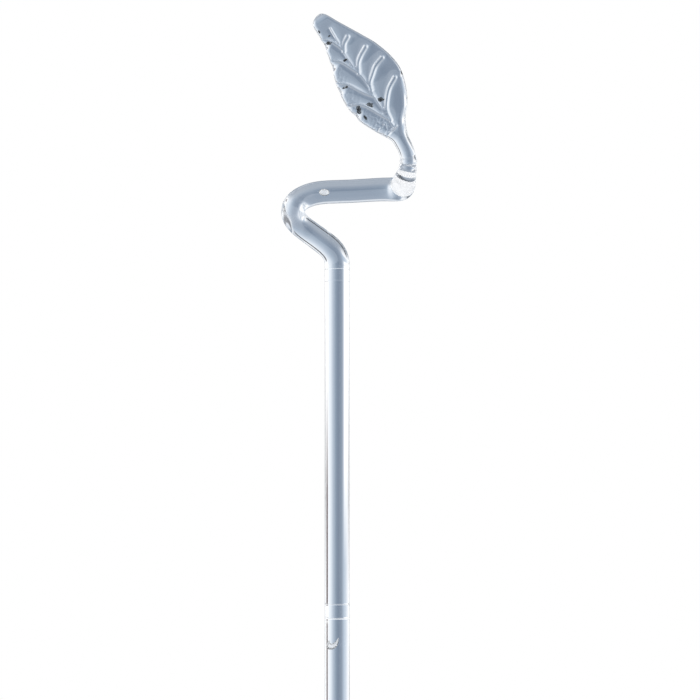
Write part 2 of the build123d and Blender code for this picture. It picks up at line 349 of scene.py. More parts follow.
def rings_piece(name, rings, materials, ring_slots=None, cap_slots=(0, 0), sharp=35, ends=None):
    """A piece skinned over closed rings of points, with a material slot for each row and end."""
    rows = [*(ring_slots or [0] * (len(rings) - 1)), *cap_slots]
    slots = [slot for slot in rows for _ in rings[0]]
    return new_piece(name, *skin(rings, ends), materials, slots, sharp)


def joined_piece(name, skins, material):
    """One piece of several closed skins, each given as its rings and the points at its two ends."""
    points, faces = [], []
    for rings, ends in skins:
        more_points, more_faces = skin(rings, ends, len(points))
        points += list(more_points)
        faces += more_faces
    return new_piece(name, points, faces, [material])


def turned_piece(name, profile, materials, slots=None, around=128):
    """A piece turned about the stem's axis from a profile of (radius, height), from axis to axis.

    slots gives the material slot of each step along the profile that does not take the first.
    """
    x, y, z = np.eye(3)
    rings = [ring_round(height * z, x, y, radius, around) for radius, height in profile[1:-1]]
    ends = [height * z for _, height in (profile[0], profile[-1])]
    first, *rows, last = [(slots or {}).get(step, 0) for step in range(len(profile) - 1)]
    return rings_piece(name, rings, materials, rows, (first, last), ends=ends)


def seamed_wall(bottom, top, seams):
    """Outside of the stem from top to bottom, dipping by a hair at each (height, depth) seam."""
    heights = set(np.linspace(bottom, top, max(2, int((top - bottom) / 4))))
    for seam, depth in seams:
        heights |= set(np.clip(seam + np.linspace(-0.5, 0.5, 21), bottom, top))
    wall = []
    for height in sorted(heights, reverse=True):
        dip = sum(depth * exp(-((height - seam) / DIP_REACH) ** 2) for seam, depth in seams)
        wall.append((STEM_R - dip, height))
    return wall


def arc(centre, radii, start, end, steps):
    """Points round an ellipse from start to end, in degrees."""
    turns = np.radians(np.linspace(start, end, steps + 1))
    return [(centre[0] + radii[0] * cos(t), centre[1] + radii[1] * sin(t)) for t in turns]


def straight(start, end, step=4.0):
    """Points from start towards end, end left out, no further apart than step."""
    start, end = np.array(start, float), np.array(end, float)
    pieces = max(1, ceil(np.linalg.norm(end - start) / step))
    return [tuple(start + (end - start) * k / pieces) for k in range(pieces)]


def swept_rings(line, radii, around=96):
    """Rings of points square to a line, carried along it without twisting."""
    tangents = np.gradient(line, axis=0)
    tangents /= np.linalg.norm(tangents, axis=1)[:, None]
    side = np.cross(tangents[0], (0.0, 1.0, 0.0))
    if np.linalg.norm(side) < 0.1:
        side = np.cross(tangents[0], (1.0, 0.0, 0.0))
    rings = []
    for centre, tangent, radius in zip(line, tangents, radii):
        side = side - tangent * np.dot(side, tangent)
        side /= np.linalg.norm(side)
        rings.append(ring_round(centre, side, np.cross(tangent, side), radius, around))
    return rings


# --- Material helpers ---


class Nodes:
    """Short way to build a node tree. Inputs go by name, with _ for a space, or by number as _0, _1."""

    def __init__(self, tree):
        self.tree = tree
        tree.nodes.clear()

    def add(self, kind, settings=None, **inputs):
        node = self.tree.nodes.new(kind)
        for key, value in (settings or {}).items():
            setattr(node, key, value)
        for key, value in inputs.items():
            self.set(node, key, value)
        return node

    def set(self, node, key, value):
        socket = node.inputs[int(key[1:])] if key[0] == "_" else node.inputs[key.replace("_", " ")]
        if isinstance(value, bpy.types.NodeSocket):
            self.tree.links.new(value, socket)
        else:
            socket.default_value = value

    def product(self, first, *others):
        for factor in others:
            first = self.math("MULTIPLY", first, factor)
        return first

    def math(self, operation, a, b=0.0, c=0.0, clamp=False):
        settings = {"operation": operation, "use_clamp": clamp}
        return self.add("ShaderNodeMath", settings, _0=a, _1=b, _2=c).outputs[0]

    def ramp(self, factor, stops):
        node = self.add("ShaderNodeValToRGB", _0=factor)
        elements = node.color_ramp.elements
        elements.remove(elements[1])
        for i, (place, colour) in enumerate(stops):
            element = elements[0] if i == 0 else elements.new(place)
            element.position = place
            element.color = (*colour, 1)
        return node.outputs[0]

    def mix(self, factor, a, b):
        node = self.add("ShaderNodeMix", {"data_type": "RGBA"}, _0=factor, _6=a, _7=b)
        return node.outputs[2]

    def noise(self, scale, detail=2.0, stretch=(1, 1, 1)):
        """Noise over the object's own place in metres, stretched along each axis."""
        place = self.add("ShaderNodeTexCoord").outputs["Object"]
        mapped = self.add("ShaderNodeMapping", Vector=place, Scale=stretch).outputs[0]
        return self.add("ShaderNodeTexNoise", Vector=mapped, Scale=scale, Detail=detail).outputs[0]

    def bump(self, height, strength, distance):
        node = self.add("ShaderNodeBump", Strength=strength, Distance=distance, Height=height)
        return node.outputs[0]


def new_material(name):
    """A material with an empty node tree, and its tree."""
    material = bpy.data.materials.new(name)
    material.use_nodes = True
    return material, Nodes(material.node_tree)


def surface(nodes, **inputs):
    """Principled surface joined to the material's output."""
    shader = nodes.add("ShaderNodeBsdfPrincipled", **inputs)
    nodes.add("ShaderNodeOutputMaterial", Surface=shader.outputs[0])


def mottled(name, noise, stops, rough=None, bump=None, **inputs):
    """Material coloured along stops by a noise, which can also set its roughness and its bumps."""
    material, nodes = new_material(name)
    grain = nodes.noise(*noise)
    if rough:
        inputs["Roughness"] = nodes.math("MULTIPLY_ADD", grain, *rough)
    if bump:
        inputs["Normal"] = nodes.bump(grain, *bump)
    surface(nodes, Base_Color=nodes.ramp(grain, stops), **inputs)
    return material


# --- Materials ---

GLASS_IOR = 1.474


def clear_glass(name, tint, ripple, haze):
    """Fire-polished glass: faint draw lines along the stem, a slight tint and a little haze."""
    material, nodes = new_material(name)
    pale = [channel ** 0.6 for channel in tint]
    colour = nodes.mix(nodes.noise(60, 2), (*tint, 1), (*pale, 1))
    smudge = nodes.math("SUBTRACT", nodes.noise(400, 3), 0.5, clamp=True)
    rough = nodes.product(smudge, haze)
    lines = nodes.bump(nodes.noise(900, 2, (1, 1, 0.03)), ripple, 0.0001)
    surface(nodes, Base_Color=colour, Roughness=rough, IOR=GLASS_IOR, Transmission_Weight=1.0,
            Normal=lines)
    return material


def fused_face():
    """Face where two lengths of glass are fused: nothing shows there."""
    material, nodes = new_material("fused_face")
    surface(nodes, Base_Color=(1, 1, 1, 1), Alpha=0.0, Roughness=0.0, IOR=1.0)
    return material


def frosted_ring():
    """Fine frosted line left where two lengths were fused or held in the flame."""
    stops = [(0.3, (0.93, 0.95, 0.97)), (0.7, (1.0, 1.0, 1.0))]
    return mottled("frosted_ring", (5000, 3), stops, rough=(0.3, 0.35), IOR=GLASS_IOR,
                   Transmission_Weight=0.72)


def milky_seam():
    """Cloudy weld between the tendril and the leaf's elbow, with a painted glow standing in for the light
    it scatters.
    """
    material, nodes = new_material("milky_seam")
    cloud = nodes.noise(700, 4)
    colour = nodes.ramp(cloud, [(0.3, (0.78, 0.79, 0.81)), (0.7, (0.93, 0.93, 0.94))])
    cover = nodes.math("MULTIPLY_ADD", cloud, 0.3, 0.72)
    # The emission is a painted glow: light the cloudy weld would scatter, not a lamp.
    surface(nodes, Base_Color=colour, Alpha=cover, Roughness=0.6, Emission_Color=colour,
            Emission_Strength=0.45)
    return material


def dark_fleck():
    """Near-black skin of a painted dark glint, mottled with paler spots."""
    stops = [(0.45, (0.012, 0.014, 0.018)), (0.62, (0.16, 0.19, 0.22)), (0.7, (0.7, 0.72, 0.74))]
    return mottled("dark_fleck", (2600, 3), stops, Roughness=0.3)


def red_spirit():
    """Dyed spirit: deep red, a little lighter in random patches."""
    stops = [(0.3, (0.50, 0.004, 0.008)), (0.7, (0.72, 0.02, 0.02))]
    return mottled("red_spirit", (300, 2), stops, Roughness=0.12, IOR=1.36, Coat_Weight=0.5)


def card_stock():
    """Matt white card with a faint fibre grain."""
    stops = [(0.3, (0.86, 0.86, 0.84)), (0.7, (0.95, 0.95, 0.93))]
    return mottled("card_stock", (9000, 4), stops, bump=(0.2, 0.00001), Roughness=0.75)


def black_ink():
    """Printed ink, a little uneven where it has soaked into the card."""
    stops = [(0.35, (0.012, 0.012, 0.014)), (0.7, (0.03, 0.03, 0.034))]
    return mottled("black_ink", (6000, 3), stops, Roughness=0.55)


def polished_steel(name, rough):
    """Bright steel with fine random scratches in its polish."""
    stops = [(0.3, (0.52, 0.53, 0.55)), (0.7, (0.72, 0.73, 0.75))]
    return mottled(name, (2500, 4), stops, rough=(0.2, rough), Metallic=1.0)


def soft_silicone():
    """Translucent white silicone with a dusty surface."""
    stops = [(0.3, (0.74, 0.74, 0.71)), (0.7, (0.88, 0.88, 0.85))]
    return mottled("soft_silicone", (1500, 3), stops, bump=(0.15, 0.00003), Roughness=0.5,
                   Subsurface_Weight=0.3, Subsurface_Radius=(0.002,) * 3)


def white_fibre():
    """Loose white fibre."""
    stops = [(0.3, (0.66, 0.65, 0.62)), (0.65, (0.95, 0.94, 0.91))]
    return mottled("white_fibre", (4000, 5, (1, 1, 0.3)), stops, bump=(0.8, 0.0001), Roughness=0.95)


CLEAR = clear_glass("clear_glass", (0.955, 0.97, 0.985), 0.05, 0.05)
PRESSED = clear_glass("pressed_glass", (0.95, 0.965, 0.98), 0.10, 0.08)
THIN = clear_glass("capillary_glass", (0.97, 0.98, 0.985), 0.02, 0.02)
FUSED = fused_face()
FROSTED = frosted_ring()
MILKY = milky_seam()
# Painted dark glints in the leaf blade
PAINTED_GLINT = dark_fleck()
SPIRIT = red_spirit()
CARD = card_stock()
INK = black_ink()
WIRE = polished_steel("tie_wire", 0.15)
STEEL = polished_steel("shot_steel", 0.04)
SILICONE = soft_silicone()
FIBRE = white_fibre()


# --- Glass of the stem ---


def finish_piece(piece, slot, *nodes):
    """The piece stands for its CAD nodes and rides with the glass."""
    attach(piece, ROOT)
    if nodes:
        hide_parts(*nodes)


def glass(piece, node, slot="clear_glass"):
    """Glass lets light through to what it holds, so it casts no shadow of its own."""
    piece.visible_shadow = False
    finish_piece(piece, slot, node)


def build_envelope():
    """Thin-walled tube with its sealed foot."""
    flat, shoulder = FOOT_FLAT_R, FOOT_SHOULDER_H
    outside = [(0, 0), (1.0, 0)] + arc((flat, shoulder), (STEM_R - flat, shoulder), -90, 0, 20)
    wall = seamed_wall(shoulder + 0.2, ENVELOPE_TOP, [(ENVELOPE_TOP, SEAM_DIP)])[::-1]
    corner = FOOT_INNER_ROUND
    floor_h = FOOT_FLOOR + corner
    bore = straight((ENVELOPE_BORE_R, ENVELOPE_TOP), (ENVELOPE_BORE_R, floor_h))
    floor = arc((ENVELOPE_BORE_R - corner, floor_h), (corner, corner), 0, -90, 8) + [(0, FOOT_FLOOR)]
    joint = {len(outside) + len(wall) - 1: 1}
    piece = turned_piece("envelope_glass", outside + wall + bore + floor, [CLEAR, FUSED], joint)
    glass(piece, "envelope_tube")


def build_plug():
    """Solid length that closes the envelope, with a curl of air trapped in it."""
    side = seamed_wall(ENVELOPE_TOP, PLUG_TOP, [(PLUG_TOP, SEAM_DIP), (ENVELOPE_TOP, SEAM_DIP)])
    face_h = ENVELOPE_TOP - PLUG_FACE
    face = arc((0, ENVELOPE_TOP), (PLUG_FACE_R, face_h), 0, -84, 12) + [(0, PLUG_FACE)]
    profile = [(0, PLUG_TOP)] + side + face
    slots = {**frosted_steps(profile, [SEAM_FROST]), 0: 1, len(side): 1}
    body = turned_piece("joint_plug_glass", profile, [CLEAR, FUSED, FROSTED], slots)
    line = smooth_line(HOOK_LINE, (0, 0, -1), (0.5, 0, 1), 0.08)
    radii = eased(HOOK_RADII, np.linspace(0, 1, len(line)))
    trap_air(body, swept_rings(line, radii, 32), 2)
    glass(body, "joint_plug")


def trap_air(piece, rings, slot):
    """Adds a bubble's skin to a glass piece, turned inwards as the skin of a cavity is."""
    bubble = rings_piece("bubble", rings, [CLEAR], [slot] * (len(rings) - 1), (slot, slot), sharp=180)
    work = bmesh.new()
    work.from_mesh(piece.data)
    outer_faces = len(work.faces)
    work.from_mesh(bubble.data)
    work.faces.ensure_lookup_table()
    bmesh.ops.reverse_faces(work, faces=work.faces[outer_faces:])
    work.to_mesh(piece.data)
    work.free()
    bpy.data.objects.remove(bubble)


def cut_out(piece, cutter):
    """Cuts a cutter out of a piece and removes the cutter."""
    change = piece.modifiers.new("cut_out", "BOOLEAN")
    change.operation = "DIFFERENCE"
    change.solver = "EXACT"
    change.object = cutter
    cut = bpy.data.meshes.new_from_object(piece.evaluated_get(bpy.context.evaluated_depsgraph_get()))
    piece.modifiers.clear()
    piece.data = cut
    bpy.data.objects.remove(cutter)


def build_handle():
    """Straight solid rod, marked by the flame above its lower joint and below its upper one."""
    seams = [(height, FLAME_DIP) for height in FLAME_MARKS] + [(PLUG_TOP, SEAM_DIP)]
    profile = [(0, HANDLE_TOP)] + seamed_wall(PLUG_TOP, HANDLE_TOP, seams) + [(0, PLUG_TOP)]
    slots = {**frosted_steps(profile, [SEAM_FROST, *FLAME_FROST]), 0: 1, len(profile) - 2: 1}
    glass(turned_piece("handle_glass", profile, [CLEAR, FUSED, FROSTED], slots), "handle_rod")


def frosted_steps(profile, rings):
    """The frosted slot for each step of the wall within reach of a (height, reach) ring."""
    slots = {}
    for i, (low, high) in enumerate(zip(profile, profile[1:])):
        middle = (low[1] + high[1]) / 2
        on_wall = min(low[0], high[0]) > STEM_R / 2
        if on_wall and any(abs(middle - height) < reach for height, reach in rings):
            slots[i] = 2
    return slots


def oval_rings(centre, radii, around=40, rows=16):
    """Rings over an oval whose poles lie to the left and right of its centre."""
    rings = []
    for lift in lifts(rows):
        ring = [(sin(lift), cos(lift) * cos(t), cos(lift) * sin(t))
                for t in round_turns(around)]
        rings.append(np.array(centre) + np.array(ring) * np.array(radii))
    return rings


def build_tendril():
    """Curled rod with a flat bubble in it, ending in the milky weld under the elbow."""
    line = smooth_line(TENDRIL_LINE, (0, 0, 1), TENDRIL_END_DIRECTION, 0.25)
    stops = [(0, STEM_R), (0.25, TENDRIL_MIDDLE_R), (0.8, TENDRIL_MIDDLE_R), (1, ELBOW_FOOT_R)]
    rings = swept_rings(line, eased(stops, np.linspace(0, 1, len(line))))
    slots = [0] * (len(rings) - 1) + [1, 1, 2]
    end, away = rings[-1], line[-1] - line[-2]
    away /= np.linalg.norm(away)
    for share, sink in ((WELD_SHARE + 0.01, 0.0), (WELD_SHARE, 0.03), (0.5, 0.12)):
        rings.append(line[-1] + (end - line[-1]) * share - sink * away)
    materials = [CLEAR, FUSED, MILKY, FROSTED]
    piece = rings_piece("tendril_glass", rings, materials, slots, cap_slots=(1, 2))
    trap_air(piece, oval_rings(OVAL_BUBBLE, OVAL_RADII), 3)
    glass(piece, "tendril_rod")


def build_elbow():
    """Short elbow that narrows to the leaf's stalk, with a pinched neck under its seam."""
    line = smooth_line(ELBOW_LINE, TENDRIL_END_DIRECTION, (0, 0, 1), 0.12)
    taper = smoothstep(0, 0.9, np.linspace(0, 1, len(line)))
    neck = NECK_DIP * np.exp(-((line[:, 2] - ELBOW_LINE[-1][2] + 0.75) / 0.3) ** 2)
    radii = ELBOW_FOOT_R + (STALK_R - ELBOW_FOOT_R) * taper - neck
    rings = swept_rings(line, radii)
    glass(rings_piece("elbow_glass", rings, [PRESSED, FUSED], cap_slots=(1, 1)), "leaf_elbow")


# --- Leaf ---


def distance_to(points, across, along):
    """Distance from each (across, along) place to a curve through points, and the share along it."""
    flat = [(x, y, 0) for x, y in points]
    curve = smooth_line(flat, np.subtract(flat[1], flat[0]), np.subtract(flat[-1], flat[-2]), 0.4)[:, :2]
    place = np.stack([across, along], axis=-1)
    best = np.full(across.shape, 1e9)
    share = np.zeros(across.shape)
    for i, (a, b) in enumerate(zip(curve, curve[1:])):
        span = b - a
        t = np.clip(((place - a) @ span) / (span @ span), 0, 1)
        gap = np.linalg.norm(place - a - t[..., None] * span, axis=-1)
        share = np.where(gap < best, (i + t) / (len(curve) - 1), share)
        best = np.minimum(best, gap)
    return best, share


def notched(along):
    """How near each place along the left margin is to a notch between two lobes, from 0 to 1."""
    gap = np.min([np.abs(along - notch) for notch in NOTCHES], axis=0)
    return 1 - smoothstep(0, NOTCH_REACH, gap)


def channel(gap, half_floor, half_mouth):
    """Flat-floored groove: 1 on its floor, 0 beyond its mouth."""
    return 1 - smoothstep(half_floor, half_mouth, gap)


def blade_relief(across, along, strength):
    """How far the pressed veins and the creases sink below the blade's smooth face."""
    nearest, share = distance_to(MIDRIB, across, along)
    taper = 1 - 0.35 * share
    depth, half_floor, half_mouth = MIDRIB_PRESS
    sink = depth * channel(nearest, half_floor * taper, half_mouth * taper)
    for veins, depth, half_floor, half_mouth in VEIN_PRESSES:
        for vein in veins:
            gap = distance_to(vein, across, along)[0]
            sink = np.maximum(sink, depth * channel(gap, half_floor, half_mouth))
            if vein is not BASE_SEAM:
                nearest = np.minimum(nearest, gap)
    pillow = 0.22 * np.exp(-(nearest / 1.3) ** 2)
    fade = smoothstep(-1.5, 1.0, along)
    return strength * (sink + pillow) * fade + crinkle(across, along)


def crinkle(across, along):
    """Fine creases where the press chilled the glass, deepest on the left lobe at the base."""
    u = across + 0.35 * np.sin(2.9 * along) + 0.2 * np.sin(5.3 * along + 2 * across)
    v = along + 0.4 * np.sin(2.3 * across + 1) + 0.15 * np.sin(6.1 * across)
    steep, shallow = np.abs(np.sin(1.5 * u + 0.8 * v)), np.abs(np.sin(1.1 * u - 1.9 * v))
    creases = (1 - steep) ** 3 + (1 - shallow) ** 3
    base = np.exp(-((across + 2.4) / 2.0) ** 2 - ((along - 3.4) / 2.2) ** 2)
    lobes = smoothstep(-2.0, -5.5, across) * smoothstep(4.0, 8.0, along)
    return (0.26 * base + 0.04 * lobes) * creases


def blade_stations():
    """Places along the leaf, closer together where its tip rounds off."""
    turns = np.radians(np.linspace(0, 89, 40))
    tip_start = LEAF_LENGTH - TIP_ROUND
    return np.append(np.arange(STALK_FOOT, tip_start, BLADE_STEP), tip_start + TIP_ROUND * np.sin(turns))


def build_leaf():
    """Leaf and stalk: rings that ease from the stalk's round to the flat pressed blade."""
    stations = blade_stations()
    upright = (sin(LEAF_LEAN), cos(LEAF_LEAN), 0)
    spine = smooth_line([(x, y, 0) for x, y in LEAF_SPINE], upright, (-0.1, 1, 0), 0.1)
    centre = np.interp(stations, spine[:, 1], spine[:, 0])
    slope = np.gradient(centre, stations)[:, None]
    centre, stations = centre[:, None], stations[:, None]
    tip = np.sqrt(1 - np.clip((stations - LEAF_LENGTH + TIP_ROUND) / TIP_ROUND, 0, 1) ** 2)
    in_blade = smoothstep(-3.5, 5.0, stations)
    angles = round_turns(2 * BLADE_HALF_AROUND)
    on_right, front = np.cos(angles) >= 0, np.sin(angles) >= -1e-9

    right = eased(RIGHT_MARGIN, stations)
    left = eased(LEFT_MARGIN, stations) - NOTCH_DEPTH * notched(stations)
    width = np.where(on_right, right, left) * tip
    right_edge = 2.0 - 1.1 * smoothstep(11.5, 13.5, stations)
    left_edge = 1.1 + 1.7 * notched(stations)
    edge = width + (np.minimum(np.where(on_right, right_edge, left_edge), width) - width) * in_blade
    offset = width * np.cos(angles)
    inside = np.clip((np.abs(offset) - (width - edge)) / np.maximum(edge, 1e-6), 0, 1)
    rise = np.sqrt(1 - inside ** 2)
    fall = in_blade * offset ** 2 / (2 * BLADE_CROSS_R)
    crown = tip * (eased(BLADE_HALF_THICKNESS, stations) - fall)
    along = np.broadcast_to(stations, offset.shape)
    sink = blade_relief(centre + offset, along, np.where(front, 1.0, BACK_RELIEF))
    height = np.where(front, 1, -1) * rise * (crown - sink * rise ** 2)

    lean = 1 / np.sqrt(1 + slope ** 2)
    x = centre + offset * lean
    y = along - offset * slope * lean * (1 - in_blade)
    place = np.array(LEAF_BASE)
    for distance, direction in ((x, LEAF_ACROSS), (y, LEAF_ALONG), (height, LEAF_OUT)):
        place = place + distance[..., None] * np.array(direction)
    piece = rings_piece("leaf_glass", list(place), [PRESSED, FUSED], cap_slots=(1, 0), sharp=60)
    glass(piece, "leaf_finial")


def fleck_rings(centre, half_x, half_z, lean, seed, around=28, rows=12):
    """Rings over a ragged flat lump that leans in the blade's plane."""
    turns = round_turns(around)
    cosine, sine = cos(lean), sin(lean)
    rings = []
    for lift in lifts(rows):
        rag = 1 + 0.28 * np.sin(3 * turns + 2 * seed + 4 * lift)
        rag += 0.16 * np.sin(7 * turns - 5 * lift + seed)
        x = half_x * cos(lift) * np.cos(turns) * rag
        y = PAINTED_GLINT_HALF_DEPTH * cos(lift) * np.sin(turns)
        z = half_z * sin(lift) + 0.2 * x * sin(3 * lift)
        ring = np.stack([x * cosine - z * sine, y, x * sine + z * cosine], axis=1)
        rings.append(np.array(centre) + ring)
    return rings


def build_flecks():
    """Ragged dark lumps in the pressed blade: painted dark glints in place of the dark surroundings seen
    in the glass.
    """
    for place, (across, along, half_x, half_z, lean) in enumerate(BLADE_PAINTED_GLINTS):
        centre = LEAF_BASE + across * LEAF_ACROSS + along * LEAF_ALONG
        rings = fleck_rings(centre, half_x, half_z, radians(lean), place)
        finish_piece(rings_piece(f"leaf_painted_glint_{place}", rings, [PAINTED_GLINT]), "clear_glass")


# --- Thermometer inside the envelope ---


def build_capillary():
    """Fine-bore tube with a round closed top and a small expansion chamber."""
    round_h = CAPILLARY_TOP - CAPILLARY_R
    outside = arc((0, round_h), (CAPILLARY_R, CAPILLARY_R), 90, 0, 12)
    outside += straight((CAPILLARY_R, round_h - 2), (CAPILLARY_R, BULB_TOP)) + [(CAPILLARY_R, BULB_TOP)]
    mouth = degrees(asin(BORE_R / CHAMBER_R))
    bore = straight((BORE_R, BULB_TOP), (BORE_R, CHAMBER_Z - CHAMBER_HALF_H))
    chamber = arc((0, CHAMBER_Z), (CHAMBER_R, CHAMBER_HALF_H), mouth - 90, 90, 20)[:-1]
    profile = [(0, CAPILLARY_TOP)] + outside[1:] + bore + chamber + [(0, CHAMBER_Z + CHAMBER_HALF_H)]
    piece = turned_piece("capillary_glass", profile, [THIN, FUSED], {len(outside) - 1: 1}, around=64)
    glass(piece, "capillary_tube", "capillary_glass")


def bulb_side(radius, neck_r, steps=16):
    """Side of the bulb from its shoulder in to its neck."""
    bend = (BULB_SHOULDER + BULB_TOP) / 2
    side = []
    for t in np.linspace(0, 1, steps + 1):
        a, b, c, d = (1 - t) ** 3, 3 * t * (1 - t) ** 2, 3 * t * t * (1 - t), t ** 3
        height = a * BULB_SHOULDER + (b + c) * bend + d * BULB_TOP
        side.append(((a + b) * radius + (c + d) * neck_r, height))
    return side


def build_bulb():
    """Thin-walled bulb, open at its neck to the capillary."""
    inner_r = BULB_R - BULB_WALL
    middle = BULB_BOTTOM + BULB_R
    outside = arc((0, middle), (BULB_R, BULB_R), -90, 0, 20)[1:] + bulb_side(BULB_R, CAPILLARY_R)
    inside = bulb_side(inner_r, BORE_R)[::-1] + arc((0, middle), (inner_r, inner_r), 0, -90, 20)[:-1]
    profile = [(0, BULB_BOTTOM)] + outside + inside + [(0, BULB_BOTTOM + BULB_WALL)]
    piece = turned_piece("bulb_glass", profile, [THIN, FUSED], {len(outside): 1}, around=96)
    glass(piece, "bulb", "capillary_glass")


def build_bulb_spirit():
    """Spirit that wets the whole inside of the bulb."""
    radius = BULB_R - BULB_WALL + WETTING
    middle = BULB_BOTTOM + BULB_R
    profile = [(0, middle - radius)] + arc((0, middle), (radius, radius), -90, 0, 20)[1:]
    profile += bulb_side(radius, BORE_R + WETTING) + [(0, BULB_TOP)]
    piece = turned_piece("bulb_spirit_fill", profile, [SPIRIT], around=96)
    finish_piece(piece, "red_spirit", "bulb_spirit")


def build_thread():
    """Column of spirit with a hollow meniscus, its foot in the bulb."""
    radius = BORE_R + WETTING
    profile = [(0, BULB_TOP), (radius, BULB_TOP), (radius, THREAD_TOP)]
    for share in (0.9, 0.7, 0.4):
        profile.append((radius * share, THREAD_TOP - MENISCUS * cos(share * pi / 2)))
    profile.append((0, THREAD_TOP - MENISCUS))
    piece = turned_piece("thread_column", profile, [SPIRIT], around=48)
    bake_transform(piece)
    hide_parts("spirit_thread")


def rounded_block(name, low, high, round_r, materials):
    """Block with its upright edges rounded and the rest left square."""
    left, front = low[0] + round_r, low[1] + round_r
    right, back = high[0] - round_r, high[1] - round_r
    corners = []
    for quarter, centre in enumerate(((right, back), (left, back), (left, front), (right, front))):
        corners += arc(centre, (round_r, round_r), 90 * quarter, 90 * quarter + 90, 4)
    rings = [[(x, y, z) for x, y in corners] for z in (low[2], high[2])]
    return rings_piece(name, rings, materials)


def build_card():
    """Scale card, drilled for the legs of the wire ties."""
    low = (-CARD_WIDTH / 2, CARD_FRONT_Y, CARD_BOTTOM)
    high = (CARD_WIDTH / 2, CARD_BACK_Y, CARD_TOP)
    piece = rounded_block("scale_strip", low, high, CARD_CORNER_R, [CARD])
    for reading in TIE_READINGS:
        for side in (-1, 1):
            cut_out(piece, drilled_hole(side * TIE_REACH, reading_height(reading)))
    finish_piece(piece, "card", "scale_card")


def drilled_hole(x, z):
    """Round cutter through the card for one leg of a tie."""
    rings = [[(x + TIE_HOLE_R * cos(a), y, z + TIE_HOLE_R * sin(a)) for a in round_turns(20)]
             for y in (CARD_FRONT_Y - 0.3, CARD_BACK_Y + 0.3)]
    return rings_piece("hole", rings, [])


def reading_height(reading):
    """Height on the stem of a reading in degrees C."""
    return SCALE_ZERO_Z + reading * DEGREE


def build_marks():
    """Printed graduations every degree, longer at the fives and the tens."""
    marks = []
    for reading in range(LAST_READING + 1):
        ten, five = reading % 10 == 0, reading % 5 == 0
        half = 0.11 if ten else 0.07
        end = 2.0 if ten else 1.75 if five else 1.45
        z = reading_height(reading)
        corners = ((MARK_START, z - half), (end, z - half), (end, z + half), (MARK_START, z + half))
        faces = [[(x, y, up) for x, up in corners] for y in (CARD_FRONT_Y - INK_H, CARD_FRONT_Y + INK_H)]
        marks.append((faces, None))
    finish_piece(joined_piece("scale_marks", marks, INK), "card")


def build_numbers():
    """Printed numbers at the tens and the unit above them."""
    labels = [(str(reading), reading) for reading in range(0, LAST_READING + 1, 10)]
    labels.append(("\u00b0C", LAST_READING + 2))
    for place, (text, reading) in enumerate(labels):
        mesh = letters(text)
        work = bmesh.new()
        work.from_mesh(mesh)
        bmesh.ops.remove_doubles(work, verts=work.verts, dist=1e-7)
        for vertex in work.verts:
            x, y, depth = vertex.co
            vertex.co = (x * NUMBER_NARROW + NUMBER_X * MM, CARD_FRONT_Y * MM - depth,
                         y + reading_height(reading) * MM)
        bmesh.ops.recalc_face_normals(work, faces=work.faces)
        work.to_mesh(mesh)
        work.free()
        mesh.materials.clear()
        mesh.materials.append(INK)
        finish_piece(link(f"scale_number_{place}", mesh), "card")


def letters(text):
    """Mesh of a text as thin raised letters, lying flat."""
    data = bpy.data.curves.new("label", "FONT")
    data.body = text
    data.size = NUMBER_SIZE * MM
    data.extrude = INK_H * MM
    data.offset = NUMBER_BOLD * MM
    data.align_x, data.align_y = "CENTER", "CENTER"
    data.space_character = 0.95
    writing = link("label", data)
    bpy.context.view_layer.update()
    mesh = bpy.data.meshes.new_from_object(writing)
    bpy.data.objects.remove(writing)
    return mesh


def loop_rings(line, radius, around=14):
    """Rings of points square to a closed flat line, in the plane it lies in."""
    rings = []
    up = np.array((0.0, 0.0, 1.0))
    for before, centre, after in zip(np.roll(line, 1, axis=0), line, np.roll(line, -1, axis=0)):
        tangent = (after - before) / np.linalg.norm(after - before)
        rings.append(ring_round(centre, np.cross(tangent, up), up, radius, around))
    return rings


def tie_line(z):
    """Closed line of a tie at height z: half round the capillary, then square behind the card."""
    reach, back, corner = TIE_REACH, TIE_BACK_Y, TIE_CORNER_R
    line = arc((0, 0), (reach, reach), -180, 0, 32)
    line += [(reach, y) for y in np.linspace(0.2, back - corner, 6)]
    line += arc((reach - corner, back - corner), (corner, corner), 10, 90, 8)
    line += [(x, back) for x in np.linspace(0.7, -0.7, 7)]
    line += arc((corner - reach, back - corner), (corner, corner), 90, 170, 8)
    line += [(-reach, y) for y in np.linspace(back - corner, 0.2, 6)]
    return np.array([(x, y, z) for x, y in line])


def build_ties():
    """Fine wire loops round the capillary and through the card."""
    for place, reading in enumerate(TIE_READINGS):
        rings = loop_rings(tie_line(reading_height(reading)), TIE_WIRE_R)
        faces = skin_faces(len(rings), len(rings[0]), closed=True)
        piece = new_piece(f"tie_wire_{place}", np.concatenate(rings), faces, [WIRE])
        finish_piece(piece, "tie_wire", *(["capillary_ties"] if place == 0 else []))


# --- Spacers, packing and ballast ---


def build_spacer(node):
    """Soft ring with rounded edges, slotted to take the end of the card."""
    low, high, hole, edge = foot_of(node), top_of(node), CAPILLARY_R + SPACER_GAP, SPACER_ROUND
    corners = ((SPACER_R - edge, low + edge, -90), (SPACER_R - edge, high - edge, 0),
               (hole + edge, high - edge, 90), (hole + edge, low + edge, 180))
    profile = []
    for r, z, start in corners:
        profile += arc((r, z), (edge, edge), start, start + 90, 5)
    angles = round_turns(96)
    points = [(r * cos(a), r * sin(a), z) for r, z in profile for a in angles]
    faces = skin_faces(len(profile), len(angles), closed=True)
    piece = new_piece(f"{node}_ring", points, faces, [SILICONE])
    reach = CARD_WIDTH / 2 + SPACER_GAP
    front, back = CARD_FRONT_Y - SPACER_GAP, CARD_BACK_Y + SPACER_GAP
    bottom, top = max(low - 1, CARD_BOTTOM - SPACER_GAP), min(high + 1, CARD_TOP + SPACER_GAP)
    cut_out(piece, rounded_block("slot", (-reach, front, bottom), (reach, back, top), 0.02, []))
    finish_piece(piece, "spacer_rubber", node)


